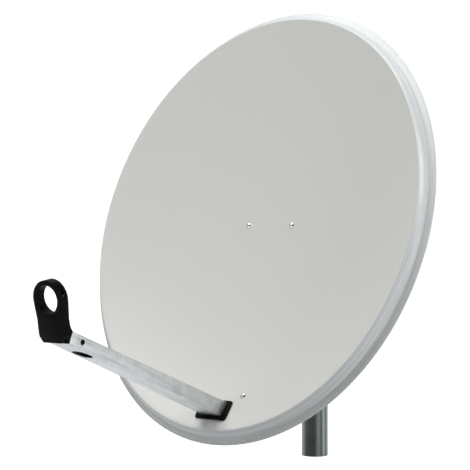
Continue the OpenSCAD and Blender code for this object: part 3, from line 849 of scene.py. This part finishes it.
def fork_fasteners(point, name):
    """The two bolts at a point of the fork, each from inside the carrier's web out through the fork."""
    bolts, washers, nuts = Shape(), Shape(), Shape()
    length = FORK_FACE - WEB_IN + WASHER_H[8] + NUT_H[8] + PAST_NUT
    for side in SIDES:
        middle = lay(point, (side, 0, 0), (0, 1, 0))
        add_domed_bolt(bolts, raised(middle, WEB_IN), 8, FORK_HEAD_D, FORK_HEAD_H, length)
        add_washer(washers, raised(middle, FORK_FACE), WASHER_BORE[8], FORK_WASHER_D, WASHER_H[8])
        add_nut(nuts, raised(middle, FORK_FACE + WASHER_H[8]), 8, flange=True)
    finished(bolts, name + "_bolts")
    finished(washers, name + "_washers")
    finished(nuts, name + "_nuts")


def arm_fasteners():
    """M6 bolts across the carrier and the arm in it."""
    bolts, washers, nuts = Shape(), Shape(), Shape()
    up = rim_point(0, 1, 0) - rim_point(0, 0, 0)
    length = 2 * WEB_OUT + 2 * WASHER_H[6] + NUT_H[6] + PAST_NUT
    for n in ARM_BOLT_PLACES:
        middle = lay(rim_point(0, arm_middle(n), n), (1, 0, 0), up)
        under_head = raised(middle, -WEB_OUT - WASHER_H[6])
        add_hexagon(bolts, under_head, FLATS[6], -HEX_HEAD[6], 0)
        add_thread(bolts, under_head, 6, 0, length)
        for face in (under_head, raised(middle, WEB_OUT)):
            add_washer(washers, face, WASHER_BORE[6], WASHER_D[6], WASHER_H[6])
        add_nut(nuts, raised(middle, WEB_OUT + WASHER_H[6]), 6)
    finished(bolts, "arm_bolts")
    finished(washers, "arm_washers")
    finished(nuts, "arm_nuts")


def cap_screws():
    """Pan heads with a hexagon socket, seated in the clamp cap."""
    centre = Matrix.Translation(rim_point(0, RING_V, RING_N))
    ring = centre @ Matrix.Rotation(math.pi / 2 + RING_TILT, 4, "X")
    head_r, head_h, edge, length = 2.8 * MM, 2.2 * MM, 0.8 * MM, 16 * MM
    key_r, key_depth, past = 1.45 * MM, 1.3 * MM, 1 * MM
    crown = arc((head_r - edge, edge - head_h), edge, -90, 0, 5)
    hexagon = arc((0, 0), key_r, 0, 300, 5)
    socket = Shape()
    screws = Shape()
    for side in SIDES:
        seat = Matrix.Translation((side * CAP_SCREW_PLACE[0], CAP_SCREW_PLACE[1], 0))
        place = ring @ seat @ Matrix.Rotation(math.pi / 2, 4, "X")
        screws.lathe([(0, -head_h)] + crown + [(head_r, 0), (0, 0)], place, 32)
        add_thread(screws, place, 3, 0, length)
        socket.prism(hexagon, -head_h - past, -head_h + key_depth, place)
    made = screws.object("clamp_cap_screws_detail")
    cut(made, socket)
    smooth(made)
    stand_in(made, "clamp_cap_screws")


# ---------------------------------------------------------------- CAD shapes with their edges rounded
SOFTENED = [
    ("feed_holder", "feed_holder_moulding", 0.7 * MM),
    ("feed_clamp_cap", "feed_clamp_cap_moulding", 0.7 * MM),
    ("arm_grommet", "arm_grommet_moulding", 0.7 * MM),
    ("dish_carrier", "dish_carrier_pressing", 0.5 * MM),
    ("mast_bracket", "mast_bracket_weldment", 0.5 * MM),
    ("clamp_jaw_upper", "clamp_jaw_upper_pressing", 0.4 * MM),
    ("clamp_jaw_lower", "clamp_jaw_lower_pressing", 0.4 * MM),
]


def softened(node, name, width):
    """A copy of the CAD node's own shape, with its sharp edges rounded."""
    made = bpy.data.objects.new(name, NODES[node].data.copy())
    bpy.context.scene.collection.objects.link(made)
    work = edit(made)
    bmesh.ops.remove_doubles(work, verts=work.verts, dist=5e-6)
    bmesh.ops.dissolve_limit(work, angle_limit=math.radians(1), verts=work.verts, edges=work.edges)
    done(work, made)
    made.data.normals_split_custom_set([(0, 0, 0)] * len(made.data.loops))
    bevel(made, width)
    smooth(made)
    stand_in(made, node)


# ---------------------------------------------------------------- stage, light and camera
# The bright wall behind the dish as the camera sees it: its direction, and where its glow fades in
BACKDROP = (-0.626, 0.780, 0)
BACKDROP_EDGE = (0.2, 0.55)
ROOM_GLOW, BACKDROP_GLOW = 0.05, 0.6
# What the camera itself sees of the room and floor
CAMERA_WHITE = 1.1
# The floor's glow, and what glossy faces see of it
FLOOR_GLOW, FLOOR_SHEEN = 0.36, 0.7
FLOOR_COLOUR = (0.95, 0.985, 1.0, 1)
FLOOR_HALF_WIDTH = 30
# Soft boxes: name, direction from the dish, distance, size and power in watts
LIGHTS = [
    ("top", (-0.2, -0.3, 1.0), 2.6, (2.2, 2.2), 80),
    ("right_top", (0.85, 0, 0.55), 2.4, (0.8, 1.0), 28),
    ("right", (0.947, 0.321, 0.12), 2.4, (0.7, 1.6), 10),
    ("right_front", (0.84, -0.54, 0.02), 2.6, (1.2, 0.9), 2.5),
    ("left", (-0.6, -0.75, 0.25), 2.6, (1.6, 1.6), 9),
]


def area_light(name, direction, distance, size, power):
    """A soft box that looks at the dish from a direction."""
    data = bpy.data.lights.new(name, "AREA")
    data.shape = "RECTANGLE"
    data.size, data.size_y = size
    data.energy = power
    lamp = bpy.data.objects.new(name, data)
    away = Vector(direction).normalized()
    lamp.location = RIM_CENTRE + away * distance
    lamp.rotation_euler = away.to_track_quat("Z", "Y").to_euler()
    bpy.context.scene.collection.objects.link(lamp)


def white_to_camera(nodes, links, strength, socket):
    """Feeds full white where the camera looks straight at it, and the strength to all other rays."""
    ray = nodes.new("ShaderNodeLightPath")
    mix = nodes.new("ShaderNodeMix")
    links.new(ray.outputs["Is Camera Ray"], mix.inputs["Factor"])
    links.new(strength, mix.inputs["A"])
    mix.inputs["B"].default_value = CAMERA_WHITE
    links.new(mix.outputs["Result"], socket)


def room():
    """A dim room with one bright wall, which the dish and the mast reflect."""
    world = bpy.data.worlds.new("studio")
    bpy.context.scene.world = world
    world.use_nodes = True
    nodes, links = world.node_tree.nodes, world.node_tree.links
    nodes["Background"].inputs["Color"].default_value = (1, 1, 1, 1)
    facing = nodes.new("ShaderNodeVectorMath")
    facing.operation = "DOT_PRODUCT"
    facing.inputs[1].default_value = BACKDROP
    links.new(nodes.new("ShaderNodeTexCoord").outputs["Generated"], facing.inputs[0])
    fade = nodes.new("ShaderNodeMapRange")
    fade.interpolation_type = "SMOOTHSTEP"
    links.new(facing.outputs["Value"], fade.inputs["Value"])
    fade.inputs["From Min"].default_value = BACKDROP_EDGE[0]
    fade.inputs["From Max"].default_value = BACKDROP_EDGE[1]
    fade.inputs["To Min"].default_value = ROOM_GLOW
    fade.inputs["To Max"].default_value = BACKDROP_GLOW
    white_to_camera(nodes, links, fade.outputs["Result"], nodes["Background"].inputs["Strength"])


def stage_floor():
    """A plain pale floor at the foot of the mast."""
    h = FLOOR_HALF_WIDTH
    floor = Shape()
    floor.add([(-h, -h, 0), (h, -h, 0), (h, h, 0), (-h, h, 0)], [[0, 1, 2, 3]])
    made = floor.object("floor")
    finish = Finish("floor", Roughness=0.8)
    tone = finish.mix(finish.noise(3, 3), (0.25, 0.25, 0.25, 1), (0.27, 0.27, 0.27, 1))
    finish.drive("Base Color", tone)
    finish.drive("Emission Color", FLOOR_COLOUR)
    ray = finish.nodes.new("ShaderNodeLightPath")
    glow = finish.between(ray.outputs["Is Glossy Ray"], 0, 1, FLOOR_GLOW, FLOOR_SHEEN)
    white_to_camera(finish.nodes, finish.links, glow, finish.shader.inputs["Emission Strength"])
    made.data.materials.append(finish.material)


def camera():
    """Looks at the rim's centre from in front, well to the +X side and a touch from below."""
    data = bpy.data.cameras.new("camera")
    data.lens = LENS_MM
    data.sensor_width = SENSOR_MM
    data.shift_x, data.shift_y = CAMERA_SHIFT
    data.clip_start = CLIP_START
    made = bpy.data.objects.new("camera", data)
    flat = math.cos(CAMERA_ELEVATION)
    away = Vector((
        flat * math.sin(CAMERA_AZIMUTH),
        -flat * math.cos(CAMERA_AZIMUTH),
        math.sin(CAMERA_ELEVATION),
    ))
    made.location = RIM_CENTRE + away * CAMERA_DISTANCE
    made.rotation_euler = away.to_track_quat("Z", "Y").to_euler()
    bpy.context.scene.collection.objects.link(made)
    bpy.context.scene.camera = made


# ---------------------------------------------------------------- the scene
camera()
room()
stage_floor()
for light in LIGHTS:
    area_light(*light)
bpy.context.scene.view_settings.view_transform = "Standard"

for node, thing in NODES.items():
    thing.data.materials.clear()
    thing.data.materials.append(MATERIALS[SLOT_OF[node]])

reflector()
feed_arm()
mast_tube()
mast_cap()
clamp_fasteners()
reflector_fasteners()
fork_fasteners(PIVOT, "pivot")
fork_fasteners(LOCK, "lock")
arm_fasteners()
cap_screws()
for node, name, width in SOFTENED:
    softened(node, name, width)
